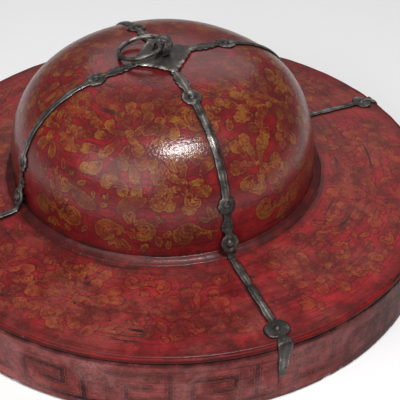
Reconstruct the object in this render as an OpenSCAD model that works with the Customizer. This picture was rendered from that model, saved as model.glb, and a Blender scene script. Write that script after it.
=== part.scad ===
// Rigid lacquered hat: a domed crown on a wide brim with a deep turned-down rim.
// Forged iron straps run from an apex plate down the crown, across the brim and over the rim,
// and a loose ring swings in an eye at the top. A padded headband and a lining sit inside.
// The origin is the centre of the circle that the rim rests on, and +Z is up.

/* [Brim and rim] */
// Outer diameter of the rim wall
rim_d = 380; // [360:2:400]
// Height of the rim wall's bead above the resting edge
rim_drop = 48; // [40:1:56]
// Thickness of the rim wall
wall_t = 5; // [4:0.5:7]
// Rise of the brim from the rim to the crown
brim_rise = 6; // [4:0.5:9]
// Thickness of the brim
brim_t = 4; // [3:0.5:5]
// Width of the quarter-round bead at the rim's top edge
edge_bead = 2.5; // [2:0.1:3]

/* [Crown] */
// Outer diameter of the crown at its foot
crown_d = 218; // [212:2:226]
// Height of the crown's top above the rim's top edge
crown_rise = 94; // [88:1:102]
// Height above the rim's top edge at which the crown starts to curve in
crown_shoulder = 9; // [7:1:12]
// How far the crown sits off the rim's centre, towards -X
crown_off_x = 3; // [0:0.5:4]
// How far the crown sits off the rim's centre, towards +Y
crown_off_y = 4; // [0:0.5:4]
// Fullness of the crown's curve: 2 is an ellipse, more is squarer
crown_fullness = 2.9; // [2.6:0.1:3.2]
// Thickness of the crown
crown_t = 4; // [3:0.5:5]
// Radius of the round bead at the crown's foot
foot_bead_r = 2.2; // [1.8:0.1:2.4]

/* [Iron straps] */
// Angle from the right strap round to the rear strap
cross_angle = 84; // [80:1:90]
// Width of a crown strap
crown_strap_w = 5.5; // [4.5:0.5:7]
// Width of a brim strap
brim_strap_w = 5; // [4:0.5:7]
// Thickness of all the straps
strap_t = 1.3; // [1:0.1:1.5]
// Radius of the round rosettes on the crown straps
rosette_r = 6.6; // [6:0.2:6.8]
// Distance of the upper rosettes from the crown's axis
upper_rosette_at = 50; // [44:1:56]
// Height of the lower rosettes above the rim's top edge
lower_rosette_at = 43; // [36:1:48]
// Distance of the trefoils from the rim's outer face
trefoil_in = 12; // [11:0.5:18]
// Width of the tabs that hang over the rim wall
tab_w = 8; // [6:0.5:10]
// Height of the tabs' lower ends above the resting edge
tab_end = 22; // [14:1:28]

/* [Rivets] */
// Radius of the rivet shanks
rivet_r = 1.3; // [1:0.1:1.5]
// Radius of the domed rivet heads
rivet_head_r = 3; // [2.6:0.1:3.4]
// Radius of the washers under the rivet tails
washer_r = 3.5; // [3:0.1:3.6]

/* [Apex fitting] */
// Distance of the apex plate's corners from the axis
plate_corner_r = 24; // [23:0.5:25]
// Distance of the middle of its hollow sides from the axis
plate_waist_r = 16.5; // [15:0.5:18]
// Thickness of the apex plate
plate_t = 1.2; // [1:0.1:1.4]
// Outer radius of the eye that holds the ring
eye_r = 6.8; // [6.6:0.1:7.4]
// Thickness of the eye's band
eye_band_t = 1.8; // [1.4:0.1:2]
// Width of the eye's band
eye_w = 8; // [6:0.5:9]
// Direction in which the ring lies, anticlockwise from the right strap
ring_direction = 140; // [130:1:150]
// Outer diameter of the ring
ring_d = 34.3; // [33:0.1:35]
// Diameter of the ring's wire
ring_wire_d = 3.3; // [3:0.1:3.6]
// Angle by which the lying ring slopes down from the eye
ring_slope = 13; // [11:0.5:13.5]

/* [Inside fittings] */
// Inner diameter of the sweatband
head_d = 180; // [176:1:182]
// Thickness of the leather sweatband
sweatband_t = 1.2; // [1:0.1:1.4]
// Height of the padded headband
headband_h = 32; // [26:1:36]
// Thickness of the cloth lining
lining_t = 1.5; // [1:0.1:1.6]

/* [Hidden] */

$fn = 64;
gap = 0.05;             // fitting gap between pieces that are fixed together
curve_steps = 24;       // straight stretches in the crown's curve
rear = cross_angle;
STRAP_ANGLES = [0, rear, 180, 180 + rear];

// Heights and radii of the shell
rim_r = rim_d / 2;
brim_r = rim_r - edge_bead;
crown_r = crown_d / 2;
brim_slope = atan2(brim_rise, brim_r - crown_r);
foot_z = rim_drop + brim_rise;
crown_centre = [-crown_off_x, crown_off_y];
shoulder_z = rim_drop + crown_shoulder;
dome_h = crown_rise - crown_shoulder;
apex_z = rim_drop + crown_rise;

// The crown strap's end and the brim strap's tongue lean out over the foot bead, which clears
// the brim where the brim is highest
bead_room = 0.4;
bead_centre = [crown_r + gap + foot_bead_r, foot_z + bead_room + foot_bead_r];
tongue_top = [crown_r + 0.3, foot_z + 16];
tongue_bend = bead_centre + [foot_bead_r + 0.1, 1];
tongue_mid = (tongue_top + tongue_bend) / 2;
tongue_lean = atan2(tongue_bend[0] - tongue_top[0], tongue_top[1] - tongue_bend[1]);
tongue_normal = [cos(tongue_lean), sin(tongue_lean)];

// Apex fitting
plate_z = apex_z + gap + strap_t + gap;
eye_z = plate_z + plate_t + eye_r;
leg_w = 3;
clench_l = 8;
eye_washer_t = 1;
eye_washer_room = 0.3;  // the washer is flat and the crown above it is curved
eye_washer_z = apex_z - crown_t - eye_washer_room - eye_washer_t;
ring_r = (ring_d - ring_wire_d) / 2;

// Rivets
head_h = 1.3;
washer_t = 0.8;
tail_h = 0.7;
tail_r = 2.2;

// Inside fittings: the lining clears the rivet tails
tail_room = 4.2;
hoop_h = 5.5;
hoop_z = foot_z - brim_t + 0.5;
lining_z = hoop_z + hoop_h + 0.2;
lining_inset = crown_t + tail_room;
pad_room = 1.8;         // the lining curves in above the headband
pad_outer_r = crown_r - lining_inset - lining_t - pad_room;
pad_inner_r = head_d / 2 + sweatband_t + 0.2;

function unit(v) = v / norm(v);

// Point of the crown's curve, sunk by inset: turn is 0 at the apex and 90 at the shoulder
function crown_point(turn, inset = 0) = [
    (crown_r - inset) * pow(sin(turn), 2 / crown_fullness),
    shoulder_z + (dome_h - inset) * pow(cos(turn), 2 / crown_fullness)
];
function crown_curve(inset = 0, first = 0, last = curve_steps) =
    [for (i = [first:last]) crown_point(90 * i / curve_steps, inset)];

// Turn at which the curve is at distance r from the axis, or at height z
function turn_at_r(r) = asin(pow(r / crown_r, crown_fullness / 2));
function turn_at_z(z) = acos(pow((z - shoulder_z) / dome_h, crown_fullness / 2));

// Angle of the curve's outward normal from +Z
function lean_at(turn) = let (
    d = crown_point(turn + 0.2) - crown_point(turn - 0.2)
) -atan2(d[1], d[0]);

// Height of the brim's top face at distance r from the rim's axis
function brim_z(r) = rim_drop + (brim_r - r) * tan(brim_slope);

// Distance from the crown's axis to the rim's outer face, in the direction of angle
function rim_reach(angle) = let (
    along = [cos(angle), sin(angle)],
    across = [-sin(angle), cos(angle)]
) sqrt(rim_r ^ 2 - (crown_centre * across) ^ 2) - crown_centre * along;

// A path from the apex to the rim has its outer side on the left
function side_of(p, i) = let (d = unit(p[i + 1] - p[i])) [-d[1], d[0]];
function mitre(p, i) =
    i == 0 ? side_of(p, 0)
    : i == len(p) - 1 ? side_of(p, i - 1)
    : let (m = unit(side_of(p, i - 1) + side_of(p, i))) m / (m * side_of(p, i));
function raised(p, height) = [for (i = [0:len(p) - 1]) p[i] + height * mitre(p, i)];
function reversed(p) = [for (i = [len(p) - 1:-1:0]) p[i]];

// Inner side of a crown strap, from under the apex plate to the middle of the foot rosette
crown_strap_last = 22;
crown_strap_path = concat(
    crown_curve(0, 1, crown_strap_last),
    [tongue_top + (strap_t + gap) * tongue_normal,
     tongue_mid + (strap_t + gap) * tongue_normal]);

// Inner side of a brim strap, from the top of its tongue to the end of its tab. The brim's
// height at its inner end depends on how far the crown is from the rim there.
tab_room = 0.3;
function brim_strap_path(reach) = let (
    inner = bead_centre[0] + 2 * foot_bead_r
) [
    tongue_top,
    tongue_bend,
    [inner, brim_z(inner + rim_r - reach) + gap],
    [reach - edge_bead - 1, rim_drop + 0.1],
    [reach - edge_bead * 0.25, rim_drop - edge_bead * 0.1],
    [reach + tab_room, rim_drop - edge_bead * 0.9],
    [reach + tab_room, tab_end]
];

// Flat strip that follows a path in the plane of a strap
module strip(path, width) {
    rotate([90, 0, 0])
        linear_extrude(width, center = true)
            polygon(concat(raised(path, gap), reversed(raised(path, gap + strap_t))));
}

// Places children at a point of the meridian plane, with their +Z leaning out by lean
module on_meridian(point, lean) {
    translate([point[0], 0, point[1]]) rotate([0, lean, 0]) children();
}
module at_upper_rosette() {
    turn = turn_at_r(upper_rosette_at);
    on_meridian(crown_point(turn), lean_at(turn)) children();
}
module at_lower_rosette() {
    turn = turn_at_z(rim_drop + lower_rosette_at);
    on_meridian(crown_point(turn), lean_at(turn)) children();
}
module at_foot_rosette() {
    on_meridian(tongue_mid, 90 - tongue_lean) children();
}
module at_trefoil(reach) {
    on_meridian([reach - trefoil_in, brim_z(rim_r - trefoil_in)], brim_slope) children();
}
module at_tab_nail(reach) {
    on_meridian([reach + tab_room, tab_end + 5], 90) children();
}

// Everything on the crown is centred on the crown's own axis
module on_crown() {
    translate([crown_centre[0], crown_centre[1], 0]) children();
}
module on_each_crown_strap() {
    on_crown() for (angle = STRAP_ANGLES) rotate(angle) children();
}
module on_each_trefoil() {
    on_crown() for (angle = STRAP_ANGLES) rotate(angle) at_trefoil(rim_reach(angle)) children();
}
module on_each_tab_nail() {
    on_crown() for (angle = STRAP_ANGLES) rotate(angle) at_tab_nail(rim_reach(angle)) children();
}

// Clearance hole for a rivet, through everything near the surface
module rivet_hole() {
    hole_depth = 24;
    translate([0, 0, -hole_depth / 2]) cylinder(r = rivet_r + gap, h = hole_depth);
}
module all_crown_holes() {
    for (angle = STRAP_ANGLES) rotate(angle) {
        at_upper_rosette() rivet_hole();
        at_lower_rosette() rivet_hole();
        at_foot_rosette() rivet_hole();
    }
}

// Domed rivet: its head sits at height top and its tail is clenched below depth
module rivet(top, depth) {
    shoulder = rivet_head_r * 0.75;
    translate([0, 0, top]) rotate_extrude()
        polygon([[0, 0], [rivet_head_r, 0], [rivet_head_r, head_h * 0.25],
            [shoulder, head_h * 0.75], [shoulder / 2, head_h], [0, head_h]]);
    translate([0, 0, -depth]) cylinder(r = rivet_r, h = depth + top + gap);
    translate([0, 0, -depth - tail_h]) cylinder(r = tail_r, h = tail_h + gap / 2);
}
module washer(depth) {
    translate([0, 0, -depth]) difference() {
        cylinder(r = washer_r, h = washer_t);
        translate([0, 0, -1]) cylinder(r = rivet_r + gap, h = washer_t + 2);
    }
}

// Depths of the washers' inner faces below each rivet's place on the outer surface
washer_room = 0.4;
crown_washer_depth = crown_t + washer_room + washer_t;
foot_washer_depth = (tongue_mid[0] - crown_r + crown_t) / cos(tongue_lean) + 1.3 + washer_t;
brim_washer_depth = brim_t + gap + washer_t;
tab_nail_depth = wall_t + tab_room + 2 * gap;

module crown_shell() {
    color("firebrick") on_crown() difference() {
        rotate_extrude() polygon(concat(
            crown_curve(), [[crown_r, foot_z - brim_t], [crown_r - crown_t, foot_z - brim_t]],
            reversed(crown_curve(crown_t))));
        all_crown_holes();
        translate([0, 0, eye_washer_z]) rotate(ring_direction - 90)
            eye_slot(apex_z - eye_washer_z + 1);
    }
}

// The brim is turned about the rim's axis, and the crown's hole in it is off centre
module brim_plate() {
    inner_r = crown_r - norm(crown_centre) - 1;
    color("firebrick") difference() {
        rotate_extrude() polygon([
            [inner_r, brim_z(inner_r) - brim_t], [brim_r, rim_drop - brim_t],
            [brim_r, rim_drop], [inner_r, brim_z(inner_r)]]);
        on_crown() cylinder(r = crown_r + gap, h = apex_z);
        on_each_trefoil() rivet_hole();
    }
}

module rim_wall() {
    color("darkred") difference() {
        rotate_extrude() translate([rim_r - wall_t, 0])
            square([wall_t, rim_drop - brim_t - gap]);
        on_each_tab_nail() rivet_hole();
    }
}

// Quarter-round bead, with a straight foot that stands on the wall beside the brim's edge
module rim_edge_bead() {
    bead_z = rim_drop - brim_t;
    straight = brim_t - edge_bead;
    round_w = edge_bead - gap;
    round_steps = 6;
    color("crimson") rotate_extrude() translate([brim_r + gap, bead_z]) polygon(concat(
        [[0, 0], [round_w, 0]],
        [for (i = [0:round_steps]) let (turn = 90 * i / round_steps)
            [round_w * cos(turn), straight + round_w * sin(turn)]]));
}

module crown_foot_bead() {
    color("rosybrown") on_crown() rotate_extrude() translate(bead_centre) circle(r = foot_bead_r);
}

// Split-cane hoop inside the crown's foot, which carries the lining and the headband
module fitting_hoop() {
    color("burlywood") on_crown() rotate_extrude()
        translate([pad_outer_r + 0.2, hoop_z])
            square([crown_r - crown_t - gap - pad_outer_r - 0.2, hoop_h]);
}

module crown_lining() {
    bottom = lining_z;
    color("darkgoldenrod") on_crown() rotate_extrude() polygon(concat(
        crown_curve(lining_inset),
        [[crown_r - lining_inset, bottom], [crown_r - lining_inset - lining_t, bottom]],
        reversed(crown_curve(lining_inset + lining_t))));
}

// Stuffed ring with rounded edges
module headband_pad() {
    width = pad_outer_r - pad_inner_r;
    edge = width / 2;
    color("saddlebrown") on_crown() rotate_extrude() translate([pad_inner_r + edge, hoop_z]) {
        translate([0, edge]) circle(r = edge);
        translate([-edge, edge]) square([width, headband_h - width]);
        translate([0, headband_h - edge]) circle(r = edge);
    }
}

module sweatband() {
    lip = 2;
    color("peru") on_crown() rotate_extrude() translate([head_d / 2, hoop_z + lip])
        square([sweatband_t, headband_h - 2 * lip]);
}

// Four-cornered plate with hollow sides, its corners over the straps
module apex_plate() {
    side_steps = 10;
    outline = [for (k = [0:3]) for (j = [0:side_steps - 1]) let (
        from = STRAP_ANGLES[k],
        to = k == 3 ? 360 : STRAP_ANGLES[k + 1],
        s = 2 * j / side_steps - 1,
        angle = (from + to) / 2 + s * (to - from) / 2,
        r = plate_waist_r + (plate_corner_r - plate_waist_r) * pow(abs(s), 2.2)
    ) [r * cos(angle), r * sin(angle)]];
    color("dimgray") on_crown() difference() {
        translate([0, 0, plate_z]) linear_extrude(plate_t) polygon(outline);
        translate([0, 0, plate_z - 1]) rotate(ring_direction - 90) eye_slot(plate_t + 2);
    }
}

// Slot for the eye's two legs, along the eye's band
module eye_slot(height) {
    translate([-(eye_w + 2 * gap) / 2, -(leg_w + 2 * gap) / 2, 0])
        cube([eye_w + 2 * gap, leg_w + 2 * gap, height]);
}

// Band bent into an eye: its legs go down through the crown and are clenched apart inside
module ring_eye() {
    clench_t = 1.4;
    leg_bottom = eye_washer_z - gap - clench_t;
    color("dimgray") on_crown() rotate(ring_direction - 90) difference() {
        union() {
            translate([0, 0, eye_z]) rotate([0, 90, 0])
                cylinder(r = eye_r, h = eye_w, center = true);
            translate([-eye_w / 2, -leg_w / 2, leg_bottom])
                cube([eye_w, leg_w, eye_z - leg_bottom]);
            translate([-eye_w / 2, -clench_l - leg_w / 2, leg_bottom])
                cube([eye_w, 2 * clench_l + leg_w, clench_t]);
        }
        translate([0, 0, eye_z]) rotate([0, 90, 0])
            cylinder(r = eye_r - eye_band_t, h = eye_w + 2, center = true);
    }
}

module eye_washer() {
    washer_side = 22;
    color("gray") on_crown() translate([0, 0, eye_washer_z]) rotate(ring_direction - 90)
        difference() {
            translate([-washer_side / 2, -washer_side / 2, 0])
                cube([washer_side, washer_side, eye_washer_t]);
            translate([0, 0, -1]) eye_slot(eye_washer_t + 2);
        }
}

// The ring's wire runs through the middle of the eye, and the ring lies to one side
module hanging_ring() {
    color("dimgray") on_crown() translate([0, 0, eye_z]) rotate(ring_direction)
        rotate([0, ring_slope, 0]) translate([ring_r, 0, 0])
            rotate_extrude() translate([ring_r, 0]) circle(r = ring_wire_d / 2);
}

module rosette() {
    translate([0, 0, gap]) cylinder(r = rosette_r, h = strap_t + 0.2);
}

module crown_strap(angle) {
    color("dimgray") on_crown() rotate(angle) difference() {
        union() {
            strip(crown_strap_path, crown_strap_w);
            at_upper_rosette() rosette();
            at_lower_rosette() rosette();
            at_foot_rosette() translate([0, 0, strap_t + 2 * gap]) rosette();
        }
        at_upper_rosette() rivet_hole();
        at_lower_rosette() rivet_hole();
        at_foot_rosette() rivet_hole();
    }
}

module brim_strap(angle) {
    lobe_r = 5.2;
    lobe_offset = 4.6;
    tab_top = rim_drop - edge_bead;
    reach = rim_reach(angle);
    color("dimgray") on_crown() rotate(angle) difference() {
        union() {
            strip(brim_strap_path(reach), brim_strap_w);
            at_trefoil(reach) for (side = [-1, 1])
                translate([0, side * lobe_offset, gap]) cylinder(r = lobe_r, h = strap_t);
            translate([reach + tab_room + gap, -tab_w / 2, tab_end])
                cube([strap_t, tab_w, tab_top - tab_end]);
        }
        at_foot_rosette() rivet_hole();
        at_trefoil(reach) rivet_hole();
        at_tab_nail(reach) rivet_hole();
    }
}

module upper_rosette_rivets() {
    color("slategray") on_each_crown_strap() at_upper_rosette()
        rivet(strap_t + 0.3, crown_washer_depth + gap);
}
module lower_rosette_rivets() {
    color("slategray") on_each_crown_strap() at_lower_rosette()
        rivet(strap_t + 0.3, crown_washer_depth + gap);
}
module crown_foot_rivets() {
    color("slategray") on_each_crown_strap() at_foot_rosette()
        rivet(2 * strap_t + 0.5, foot_washer_depth + gap);
}
module trefoil_rivets() {
    color("slategray") on_each_trefoil()
        rivet(strap_t + 2 * gap, brim_washer_depth + gap);
}

// Short nails with small heads, clenched against the inside of the rim wall
module tab_nails() {
    color("slategray") on_each_tab_nail() {
        translate([0, 0, strap_t + 2 * gap]) cylinder(r = 2.2, h = 0.7);
        translate([0, 0, -tab_nail_depth]) cylinder(r = rivet_r, h = tab_nail_depth + strap_t + 0.2);
        translate([0, 0, -tab_nail_depth - 0.6]) cylinder(r = tail_r, h = 0.6 + gap / 2);
    }
}

module crown_rivet_washers() {
    color("gray") on_each_crown_strap() {
        at_upper_rosette() washer(crown_washer_depth);
        at_lower_rosette() washer(crown_washer_depth);
        at_foot_rosette() washer(foot_washer_depth);
    }
}
module brim_rivet_washers() {
    color("gray") on_each_trefoil() washer(brim_washer_depth);
}

crown_shell();
brim_plate();
rim_wall();
rim_edge_bead();
crown_foot_bead();
fitting_hoop();
crown_lining();
headband_pad();
sweatband();
apex_plate();
ring_eye();
eye_washer();
hanging_ring();
crown_strap(0);  // crown_strap_right
crown_strap(rear);  // crown_strap_rear
crown_strap(180);  // crown_strap_left
crown_strap(180 + rear);  // crown_strap_front
brim_strap(0);  // brim_strap_right
brim_strap(rear);  // brim_strap_rear
brim_strap(180);  // brim_strap_left
brim_strap(180 + rear);  // brim_strap_front
upper_rosette_rivets();
lower_rosette_rivets();
crown_foot_rivets();
trefoil_rivets();
tab_nails();
crown_rivet_washers();
brim_rivet_washers();
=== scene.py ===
"""Looks of the lacquered hat: painted lacquer shell, forged iron straps, lined and padded inside.

Lengths are in millimetres, in the CAD's frame, until mesh_object() turns them into metres.
"""

from math import atan2, cos, pi, radians, sin, sqrt

import bpy
import numpy as np
from mathutils import Matrix, Vector


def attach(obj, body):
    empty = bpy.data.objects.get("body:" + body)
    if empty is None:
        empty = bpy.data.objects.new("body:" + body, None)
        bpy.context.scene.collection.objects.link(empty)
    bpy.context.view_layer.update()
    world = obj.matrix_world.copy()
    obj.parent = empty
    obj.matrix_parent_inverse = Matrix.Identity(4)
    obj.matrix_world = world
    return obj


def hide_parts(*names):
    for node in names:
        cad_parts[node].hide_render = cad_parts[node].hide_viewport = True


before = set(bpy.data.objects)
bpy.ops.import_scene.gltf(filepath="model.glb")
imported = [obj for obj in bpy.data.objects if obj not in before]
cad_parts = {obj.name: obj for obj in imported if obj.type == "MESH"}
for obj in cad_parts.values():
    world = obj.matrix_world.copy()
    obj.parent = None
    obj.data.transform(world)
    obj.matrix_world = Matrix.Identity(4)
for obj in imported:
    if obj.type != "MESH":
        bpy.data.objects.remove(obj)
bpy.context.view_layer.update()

# ---- dimensions, as in the CAD
MM = 0.001
CROWN_C = np.array([-3.0, 4.0, 0.0])
RIM_R, BRIM_R, CROWN_R = 190.0, 187.5, 109.0
MID_BRIM_R = 148.0
RIM_Z, FOOT_Z, SHOULDER_Z, DOME_H = 48.0, 54.0, 57.0, 85.0
FULLNESS = 2.9
BRIM_RISE = 6.0
CROWN_T, BRIM_T, WALL_T = 4.0, 4.0, 5.0
STRAP_T = 1.3
STRAPS = {"right": 0.0, "rear": 84.0, "left": 180.0, "front": 264.0}
SECTORS = [(0.0, 84.0), (84.0, 180.0), (180.0, 264.0), (264.0, 360.0)]
UPPER_ROSETTE_R, LOWER_ROSETTE_Z, TREFOIL_IN, TAB_END = 50.0, 91.0, 12.0, 22.0
PLATE_Z, EYE_Z = 143.4, 151.4
PAD_IN, PAD_OUT, PAD_Z, PAD_H = 91.4, 97.5, 50.5, 32.0
TONGUE_TOP, TONGUE_BEND = np.array([109.3, 70.0]), np.array([113.55, 57.6])
TONGUE_MID = (TONGUE_TOP + TONGUE_BEND) / 2
FOOT_BEAD_EDGE = 115.65

# ---- how fine the iron is drawn
STEP = 0.6
RIVET_FACETS = 16


def brim_z(r):
    return RIM_Z + (BRIM_R - r) * BRIM_RISE / (BRIM_R - CROWN_R)


def smooth(x, lo, hi):
    t = np.clip((x - lo) / (hi - lo), 0.0, 1.0)
    return t * t * (3 - 2 * t)


def unit(v):
    v = np.asarray(v, float)
    return v / np.maximum(np.linalg.norm(v, axis=-1, keepdims=True), 1e-9)


def off_centre(a):
    """How far the crown's centre stands from the rim's, along the direction a and across it."""
    c, s = np.cos(a), np.sin(a)
    return CROWN_C[0] * c + CROWN_C[1] * s, CROWN_C[1] * c - CROWN_C[0] * s


def rim_reach(angle):
    """Distance from the crown's axis to the rim's outer face."""
    along, across = off_centre(angle)
    return sqrt(RIM_R**2 - across**2) - along


# ---- camera
def aim_camera():
    cam = bpy.data.cameras.new("camera")
    cam.lens, cam.sensor_width = 91.83, 36
    obj = bpy.data.objects.new("camera", cam)
    bpy.context.collection.objects.link(obj)
    heading, pitch, roll = radians(59.71), radians(-38.27), radians(0.72)
    forward = Vector((cos(heading) * cos(pitch), sin(heading) * cos(pitch), sin(pitch)))
    level = forward.cross(Vector((0, 0, 1))).normalized()
    upright = level.cross(forward)
    right = level * cos(roll) + upright * sin(roll)
    up = right.cross(forward)
    turn = Matrix((right, up, -forward)).transposed().to_4x4()
    obj.matrix_world = Matrix.Translation((-0.2859, -0.5333, 0.4971)) @ turn
    bpy.context.scene.camera = obj


aim_camera()


# ---- meshes
def mesh_object(name, verts, faces, material, attrs=None):
    mesh = bpy.data.meshes.new(name)
    mesh.from_pydata((np.asarray(verts) * MM).tolist(), [], [list(f) for f in faces])
    mesh.update()
    mesh.polygons.foreach_set("use_smooth", [True] * len(mesh.polygons))
    for key, values in (attrs or {}).items():
        mesh.attributes.new(key, "FLOAT", "POINT").data.foreach_set("value", values.astype(float))
    obj = bpy.data.objects.new(name, mesh)
    bpy.context.collection.objects.link(obj)
    mesh.materials.append(material)
    return obj


def grid_faces(rows, cols, wrap_rows=False, base=0):
    """Quads of a grid of vertices that closes round its columns."""
    r = np.arange(rows if wrap_rows else rows - 1)
    r, c = np.meshgrid(r, np.arange(cols), indexing="ij")
    r1, c1 = (r + 1) % rows, (c + 1) % cols
    quads = np.stack([r * cols + c, r1 * cols + c, r1 * cols + c1, r * cols + c1], -1)
    return (quads.reshape(-1, 4) + base).tolist()


def capped_faces(rows, cols, base=0):
    """The same grid with a cap on its first and its last row."""
    first = list(range(base, base + cols))
    last = [i + (rows - 1) * cols for i in first]
    return grid_faces(rows, cols, base=base) + [first, last[::-1]]


def circle(count):
    """Even angles round a full turn."""
    return np.arange(count) * 2 * pi / count


def apart(a, b):
    """The shortest turn from b to a."""
    return np.angle(np.exp(1j * (a - b)))


def lengths(path):
    """How far along a path each of its points lies."""
    return np.append(0, np.cumsum(np.linalg.norm(np.diff(path, axis=0), axis=1)))


def turned(profile, cols, centre=(0, 0, 0), shift=None):
    """Vertices of a profile [(r, z), ...] turned round the z axis at centre, row by row."""
    a = circle(cols)
    r, z = np.asarray(profile, float).T
    grid = np.stack([
        r[:, None] * np.cos(a), r[:, None] * np.sin(a), np.repeat(z[:, None], cols, 1)], -1)
    if shift is not None:
        grid = shift(grid, a)
    return grid.reshape(-1, 3) + np.asarray(centre)


class Rng:
    """Small seeded random source."""

    def __init__(self, seed):
        self.state = np.random.RandomState(seed)

    def __call__(self, lo=0.0, hi=1.0):
        return float(self.state.uniform(lo, hi))


# ---- the crown's surface
def _meridian():
    turn = (0.5 - 0.5 * np.cos(np.linspace(0, pi, 500))) * pi / 2
    r = CROWN_R * np.sin(turn) ** (2 / FULLNESS)
    z = SHOULDER_Z + DOME_H * np.maximum(np.cos(turn), 0) ** (2 / FULLNESS)
    r, z = np.append(r, CROWN_R), np.append(z, FOOT_Z - BRIM_T)
    s = np.append(0, np.cumsum(np.hypot(np.diff(r), np.diff(z))))
    even = np.arange(0, s[-1], 0.5)
    r, z = np.interp(even, s, r), np.interp(even, s, z)
    for _ in range(6):
        r[1:-1], z[1:-1] = (r[:-2] + r[2:]) / 2, (z[:-2] + z[2:]) / 2
    return even, r, z


MER_S, MER_R, MER_Z = _meridian()
MER_NR, MER_NZ = -np.gradient(MER_Z), np.gradient(MER_R)
MER_FOOT = float(np.interp(-FOOT_Z, -MER_Z, MER_S))


def s_at_r(r):
    return float(np.interp(r, MER_R, MER_S))


def s_at_z(z):
    return float(np.interp(-z, -MER_Z, MER_S))


def bulge(a, s):
    """How far the hand-made crown stands off its true curve; nothing at the top and the foot."""
    reach = smooth(s, 40, 80) * (1 - smooth(s, MER_FOOT - 30, MER_FOOT - 8))
    return reach * (0.5 * np.sin(2 * a + 0.6) + 0.35 * np.sin(3 * a + 2.1 + s * 0.02)
                    + 0.2 * np.sin(5 * a + 1.0 - s * 0.05))


def crown_frame(a, s, lift=0.0):
    """Point on the crown at angle a and distance s down from its top, its outward normal, the
    direction down the curve and the direction round it."""
    a, s = np.broadcast_arrays(np.asarray(a, float), np.asarray(s, float))
    r, z = np.interp(s, MER_S, MER_R), np.interp(s, MER_S, MER_Z)
    nr, nz = np.interp(s, MER_S, MER_NR), np.interp(s, MER_S, MER_NZ)
    size = np.hypot(nr, nz)
    nr, nz = nr / size, nz / size
    out = lift + bulge(a, s)
    ca, sa = np.cos(a), np.sin(a)
    p = np.stack([(r + nr * out) * ca, (r + nr * out) * sa, z + nz * out], -1) + CROWN_C
    n = np.stack([nr * ca, nr * sa, nz], -1)
    down = np.stack([nz * ca, nz * sa, -nr], -1)
    around = np.stack([-sa, ca, 0 * sa], -1)
    return p, n, down, around


# ---- painted ornament
class Canvas:
    """A painted surface. paint holds the distance in mm from the nearest painted edge, above 0
    inside the paint, ink the same for the thin dark lines over it, and tone how much gold it
    holds, graded along each stroke. place(x, y) gives a point of the surface, its right-hand and
    its upward direction."""

    def __init__(self, points, place):
        self.points, self.place = points, place
        self.paint = np.full(len(points), -9.0)
        self.ink = np.full(len(points), -9.0)
        self.tone = np.zeros(len(points))

    def local(self, x, y, reach):
        p0, right, up = self.place(x, y)
        d = self.points - p0
        near = np.nonzero(np.einsum("ij,ij->i", d, d) < reach * reach)[0]
        d = d[near]
        return near, np.stack([d @ right, d @ up], -1)

    def depth(self, x, y):
        near, q = self.local(x, y, 3)
        return self.paint[near[np.argmin(np.einsum("ij,ij->i", q, q))]] if len(near) else 0.0

    def stroke(self, x, y, angle, path, radii, tone=(0.5, 0.5), ink=False):
        """Paint, or ink in, a chain of discs given in the stroke's own frame."""
        path, radii = np.asarray(path, float), np.asarray(radii, float)
        reach = np.max(np.linalg.norm(path, axis=1) + radii) + 9
        near, q = self.local(x, y, reach)
        if not len(near):
            return
        turn = np.array([[cos(angle), -sin(angle)], [sin(angle), cos(angle)]])
        q = q @ turn
        best, load = np.full(len(q), -1e3), np.zeros(len(q))
        for k, (a, b, ra, rb) in enumerate(zip(path[:-1], path[1:], radii[:-1], radii[1:])):
            ab = b - a
            t = np.clip((q - a) @ ab / max(ab @ ab, 1e-9), 0, 1)
            inside = ra + (rb - ra) * t - np.linalg.norm(q - a - t[:, None] * ab, axis=1)
            load = np.where(inside > best, (k + t) / (len(path) - 1), load)
            best = np.maximum(best, inside)
        if ink:
            self.ink[near] = np.maximum(self.ink[near], best)
            return
        old = self.paint[near]
        edge = np.where(old > 0, np.minimum(old, -best), np.maximum(old, best))
        self.paint[near] = np.where(best > 0, best, edge)
        self.tone[near] = np.where(best > 0, np.interp(load, (0, 1), tone), self.tone[near])
        self.ink[near] = np.where(best > 0, -9.0, self.ink[near])

    def attributes(self, spare, fade, grime):
        """Vertex attributes, followed by blank ones for the spare unpainted vertices."""
        blank = np.zeros(spare)
        return {"paint": np.append(self.paint, blank - 9), "ink": np.append(self.ink, blank - 9),
                "tone": np.append(self.tone, blank), "fade": np.append(fade, blank),
                "grime": np.append(grime, blank + 0.5)}


def petal(canvas, x, y, angle, length, width, rng):
    """Teardrop petal with its round tip towards angle and a few short veins from its root."""
    t = np.linspace(0, 1, 8)
    half = width / 2 * (0.14 + 0.86 * t**0.7)
    path = np.stack([(t - 0.5) * length + width * 0.12 - width * 0.5 * t,
                     rng(-0.9, 0.9) * np.sin(pi * t)], -1)
    canvas.stroke(x, y, angle, path, half, (rng(0, 0.25), rng(0.75, 1.2)))
    for lean in (-0.4, 0.0, 0.4):
        k = np.linspace(-0.4, rng(-0.05, 0.2), 4)
        vein = np.stack([k * length, (k + 0.4) * length * lean], -1)
        canvas.stroke(x, y, angle, vein, [0.3, 0.42, 0.36, 0.2], ink=True)


def leaf(canvas, x, y, angle, length, width, bend, rng):
    """Pointed leaf, bent sideways, with a midrib."""
    t = np.linspace(0, 1, 13)
    path = np.stack([(t - 0.5) * length, bend * length * np.sin(pi * t)], -1)
    canvas.stroke(x, y, angle, path, 0.25 + width / 2 * np.sin(pi * t**0.85) ** 0.9,
                  (rng(0.4, 0.7), rng(0.8, 1.2)))
    vein = np.stack([(t[1:11] - 0.5) * length, bend * length * np.sin(pi * t[1:11])], -1)
    canvas.stroke(x, y, angle, vein, np.linspace(0.45, 0.3, 10), ink=True)


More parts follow.
